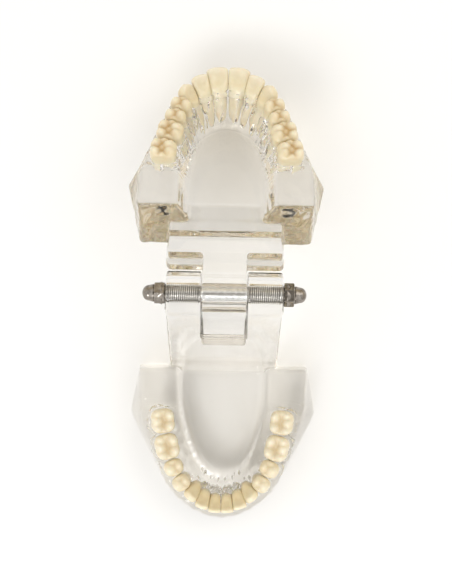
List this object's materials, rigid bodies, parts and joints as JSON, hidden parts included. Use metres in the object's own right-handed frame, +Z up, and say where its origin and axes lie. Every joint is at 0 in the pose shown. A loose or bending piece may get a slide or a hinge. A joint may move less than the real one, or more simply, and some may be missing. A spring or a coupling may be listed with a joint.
{
  "type": "dental demonstration model",
  "caption": "Hinged dental model of two clear resin jaws, opened flat, with separate ivory teeth standing in sockets and a threaded hinge stud with dome nuts.",
  "frame": {"origin": "on the table under the middle of the whole opened model", "axes": "+Z up, +Y towards the folded-back upper jaw, the lower jaw's front teeth face -Y, and the hinge stud lies along X"},
  "size_m": [0.0828, 0.1914, 0.063],
  "materials": {
    "clear_resin": "clear, polished",
    "tooth_ivory": "glazed ivory",
    "stud_steel": "bright threaded",
    "plated_nut": "nickel plated"
  },
  "bodies": {
    "lower_jaw": {"lower_jaw": "clear_resin", "hinge_stud": "stud_steel", "left_washer": "plated_nut", "right_washer": "plated_nut", "left_dome_nut": "plated_nut", "right_dome_nut": "plated_nut"},
    "upper_jaw": {"upper_jaw": "clear_resin"},
    "lower_right_central_incisor": {"lower_right_central_incisor": "tooth_ivory"},
    "lower_right_lateral_incisor": {"lower_right_lateral_incisor": "tooth_ivory"},
    "lower_right_canine": {"lower_right_canine": "tooth_ivory"},
    "lower_right_first_premolar": {"lower_right_first_premolar": "tooth_ivory"},
    "lower_right_second_premolar": {"lower_right_second_premolar": "tooth_ivory"},
    "lower_right_first_molar": {"lower_right_first_molar": "tooth_ivory"},
    "lower_right_second_molar": {"lower_right_second_molar": "tooth_ivory"},
    "lower_left_central_incisor": {"lower_left_central_incisor": "tooth_ivory"},
    "lower_left_lateral_incisor": {"lower_left_lateral_incisor": "tooth_ivory"},
    "lower_left_canine": {"lower_left_canine": "tooth_ivory"},
    "lower_left_first_premolar": {"lower_left_first_premolar": "tooth_ivory"},
    "lower_left_second_premolar": {"lower_left_second_premolar": "tooth_ivory"},
    "lower_left_first_molar": {"lower_left_first_molar": "tooth_ivory"},
    "lower_left_second_molar": {"lower_left_second_molar": "tooth_ivory"},
    "upper_right_central_incisor": {"upper_right_central_incisor": "tooth_ivory"},
    "upper_right_lateral_incisor": {"upper_right_lateral_incisor": "tooth_ivory"},
    "upper_right_canine": {"upper_right_canine": "tooth_ivory"},
    "upper_right_first_premolar": {"upper_right_first_premolar": "tooth_ivory"},
    "upper_right_second_premolar": {"upper_right_second_premolar": "tooth_ivory"},
    "upper_right_first_molar": {"upper_right_first_molar": "tooth_ivory"},
    "upper_right_second_molar": {"upper_right_second_molar": "tooth_ivory"},
    "upper_left_central_incisor": {"upper_left_central_incisor": "tooth_ivory"},
    "upper_left_lateral_incisor": {"upper_left_lateral_incisor": "tooth_ivory"},
    "upper_left_canine": {"upper_left_canine": "tooth_ivory"},
    "upper_left_first_premolar": {"upper_left_first_premolar": "tooth_ivory"},
    "upper_left_second_premolar": {"upper_left_second_premolar": "tooth_ivory"},
    "upper_left_first_molar": {"upper_left_first_molar": "tooth_ivory"},
    "upper_left_second_molar": {"upper_left_second_molar": "tooth_ivory"}
  },
  "joints": [
    {"name": "jaw_hinge", "type": "hinge", "parent": "lower_jaw", "child": "upper_jaw", "pos_m": [0, 0.00183, 0.056], "axis": [-1, 0, 0], "range_deg": [-216.9, 0]},
    {"name": "lower_right_central_incisor_pull", "type": "slide", "parent": "lower_jaw", "child": "lower_right_central_incisor", "axis": [-0.0194, -0.3084, 0.9511], "range_m": [0, 0.018]},
    {"name": "lower_right_lateral_incisor_pull", "type": "slide", "parent": "lower_jaw", "child": "lower_right_lateral_incisor", "axis": [-0.0643, -0.268, 0.9613], "range_m": [0, 0.018]},
    {"name": "lower_right_canine_pull", "type": "slide", "parent": "lower_jaw", "child": "lower_right_canine", "axis": [-0.0728, -0.1576, 0.9848], "range_m": [0, 0.018]},
    {"name": "lower_right_first_premolar_pull", "type": "slide", "parent": "lower_jaw", "child": "lower_right_first_premolar", "axis": [-0.0299, -0.018, 0.9994], "range_m": [0, 0.018]},
    {"name": "lower_right_second_premolar_pull", "type": "slide", "parent": "lower_jaw", "child": "lower_right_second_premolar", "axis": [0.0648, 0.0259, 0.9976], "range_m": [0, 0.018]},
    {"name": "lower_right_first_molar_pull", "type": "slide", "parent": "lower_jaw", "child": "lower_right_first_molar", "axis": [0.1185, 0.0283, 0.9925], "range_m": [0, 0.018]},
    {"name": "lower_right_second_molar_pull", "type": "slide", "parent": "lower_jaw", "child": "lower_right_second_molar", "axis": [0.1383, 0.0152, 0.9903], "range_m": [0, 0.018]},
    {"name": "lower_left_central_incisor_pull", "type": "slide", "parent": "lower_jaw", "child": "lower_left_central_incisor", "axis": [0.0194, -0.3084, 0.9511], "range_m": [0, 0.018]},
    {"name": "lower_left_lateral_incisor_pull", "type": "slide", "parent": "lower_jaw", "child": "lower_left_lateral_incisor", "axis": [0.0643, -0.268, 0.9613], "range_m": [0, 0.018]},
    {"name": "lower_left_canine_pull", "type": "slide", "parent": "lower_jaw", "child": "lower_left_canine", "axis": [0.0728, -0.1576, 0.9848], "range_m": [0, 0.018]},
    {"name": "lower_left_first_premolar_pull", "type": "slide", "parent": "lower_jaw", "child": "lower_left_first_premolar", "axis": [0.0299, -0.018, 0.9994], "range_m": [0, 0.018]},
    {"name": "lower_left_second_premolar_pull", "type": "slide", "parent": "lower_jaw", "child": "lower_left_second_premolar", "axis": [-0.0648, 0.0259, 0.9976], "range_m": [0, 0.018]},
    {"name": "lower_left_first_molar_pull", "type": "slide", "parent": "lower_jaw", "child": "lower_left_first_molar", "axis": [-0.1185, 0.0283, 0.9925], "range_m": [0, 0.018]},
    {"name": "lower_left_second_molar_pull", "type": "slide", "parent": "lower_jaw", "child": "lower_left_second_molar", "axis": [-0.1383, 0.0152, 0.9903], "range_m": [0, 0.018]},
    {"name": "upper_right_central_incisor_pull", "type": "slide", "parent": "upper_jaw", "child": "upper_right_central_incisor", "axis": [-0.0543, 0.8742, 0.4824], "range_m": [0, 0.018]},
    {"name": "upper_right_lateral_incisor_pull", "type": "slide", "parent": "upper_jaw", "child": "upper_right_lateral_incisor", "axis": [-0.1438, 0.8268, 0.5437], "range_m": [0, 0.018]},
    {"name": "upper_right_canine_pull", "type": "slide", "parent": "upper_jaw", "child": "upper_right_canine", "axis": [-0.1476, 0.7405, 0.6557], "range_m": [0, 0.018]},
    {"name": "upper_right_first_premolar_pull", "type": "slide", "parent": "upper_jaw", "child": "upper_right_first_premolar", "axis": [-0.0977, 0.6322, 0.7686], "range_m": [0, 0.018]},
    {"name": "upper_right_second_premolar_pull", "type": "slide", "parent": "upper_jaw", "child": "upper_right_second_premolar", "axis": [-0.0843, 0.6213, 0.7791], "range_m": [0, 0.018]},
    {"name": "upper_right_first_molar_pull", "type": "slide", "parent": "upper_jaw", "child": "upper_right_first_molar", "axis": [-0.0689, 0.6131, 0.787], "range_m": [0, 0.018]},
    {"name": "upper_right_second_molar_pull", "type": "slide", "parent": "upper_jaw", "child": "upper_right_second_molar", "axis": [-0.0696, 0.608, 0.7909], "range_m": [0, 0.018]},
    {"name": "upper_left_central_incisor_pull", "type": "slide", "parent": "upper_jaw", "child": "upper_left_central_incisor", "axis": [0.0543, 0.8742, 0.4824], "range_m": [0, 0.018]},
    {"name": "upper_left_lateral_incisor_pull", "type": "slide", "parent": "upper_jaw", "child": "upper_left_lateral_incisor", "axis": [0.1438, 0.8268, 0.5437], "range_m": [0, 0.018]},
    {"name": "upper_left_canine_pull", "type": "slide", "parent": "upper_jaw", "child": "upper_left_canine", "axis": [0.1476, 0.7405, 0.6557], "range_m": [0, 0.018]},
    {"name": "upper_left_first_premolar_pull", "type": "slide", "parent": "upper_jaw", "child": "upper_left_first_premolar", "axis": [0.0977, 0.6322, 0.7686], "range_m": [0, 0.018]},
    {"name": "upper_left_second_premolar_pull", "type": "slide", "parent": "upper_jaw", "child": "upper_left_second_premolar", "axis": [0.0843, 0.6213, 0.7791], "range_m": [0, 0.018]},
    {"name": "upper_left_first_molar_pull", "type": "slide", "parent": "upper_jaw", "child": "upper_left_first_molar", "axis": [0.0689, 0.6131, 0.787], "range_m": [0, 0.018]},
    {"name": "upper_left_second_molar_pull", "type": "slide", "parent": "upper_jaw", "child": "upper_left_second_molar", "axis": [0.0696, 0.608, 0.7909], "range_m": [0, 0.018]}
  ]
}
